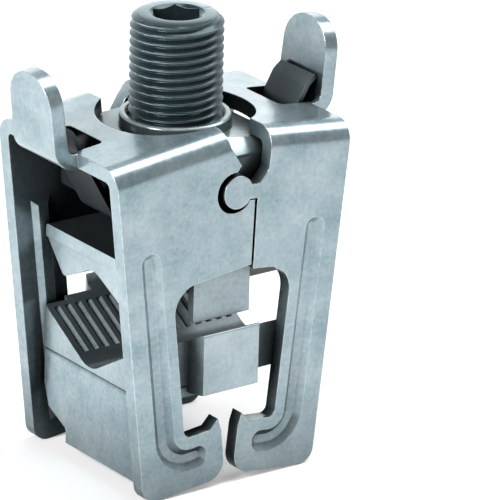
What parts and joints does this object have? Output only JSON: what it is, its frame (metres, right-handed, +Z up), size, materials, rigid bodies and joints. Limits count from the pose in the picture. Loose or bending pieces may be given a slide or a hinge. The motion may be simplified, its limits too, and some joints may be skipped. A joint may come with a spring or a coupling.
{
  "type": "earthing bar terminal",
  "caption": "Clamp terminal of two hinged steel hooks, a clamping screw and toothed vee jaws that joins a conductor to an earthing bar.",
  "frame": {"origin": "on the clamping screw's axis, at the level of the halves' lowest corners", "axes": "+Z up along the screw, X across the two halves and along the conductor, -Y the front"},
  "size_m": [0.0602, 0.0354, 0.0795],
  "materials": {
    "plated_sheet": "bright zinc plated sheet steel",
    "plated_nut": "zinc plated steel",
    "plated_jaw": "satin plated steel",
    "screw_steel": "zinc plated threaded steel",
    "spring_steel": "dark spring steel"
  },
  "bodies": {
    "nut": {"nut_block": "plated_nut", "spring_clip": "spring_steel"},
    "left_hook": {"left_half": "plated_sheet"},
    "right_hook": {"right_half": "plated_sheet"},
    "press": {"pressing_block": "plated_jaw"},
    "screw": {"clamping_screw": "screw_steel", "retaining_ring": "spring_steel"},
    "jaw": {"lower_jaw": "plated_jaw", "jaw_plate": "plated_sheet"}
  },
  "joints": [
    {"name": "right_hook_hinge", "type": "hinge", "parent": "nut", "child": "right_hook", "pos_m": [0, 0, 0.0526], "axis": [0, -1, 0], "range_deg": [0, 6.2], "stiffness_Nm_per_rad": 1.5, "springref_deg": -8.59, "deforming": ["spring_clip"]},
    {"name": "left_hook_hinge", "type": "hinge", "parent": "nut", "child": "left_hook", "pos_m": [0, 0, 0.0526], "axis": [0, 1, 0], "range_deg": [0, 6.2], "stiffness_Nm_per_rad": 1.5, "springref_deg": -8.59, "deforming": ["spring_clip"]},
    {"name": "press_slide", "type": "slide", "parent": "nut", "child": "press", "axis": [0, 0, -1], "range_m": [-0.0045, 0.0015]},
    {"name": "screw_spin", "type": "hinge", "parent": "press", "child": "screw", "pos_m": [0, 0, 0.0407], "axis": [0, 0, -1], "range_deg": [-1085, 365]},
    {"name": "jaw_slide", "type": "slide", "parent": "nut", "child": "jaw", "axis": [0, 0, -1], "range_m": [-0.0012, 0.0034]}
  ],
  "couplings": [
    {"joint": "left_hook_hinge", "follows": "right_hook_hinge", "ratio": 1},
    {"joint": "screw_spin", "follows": "press_slide", "rad_per_m": 4188.8}
  ]
}
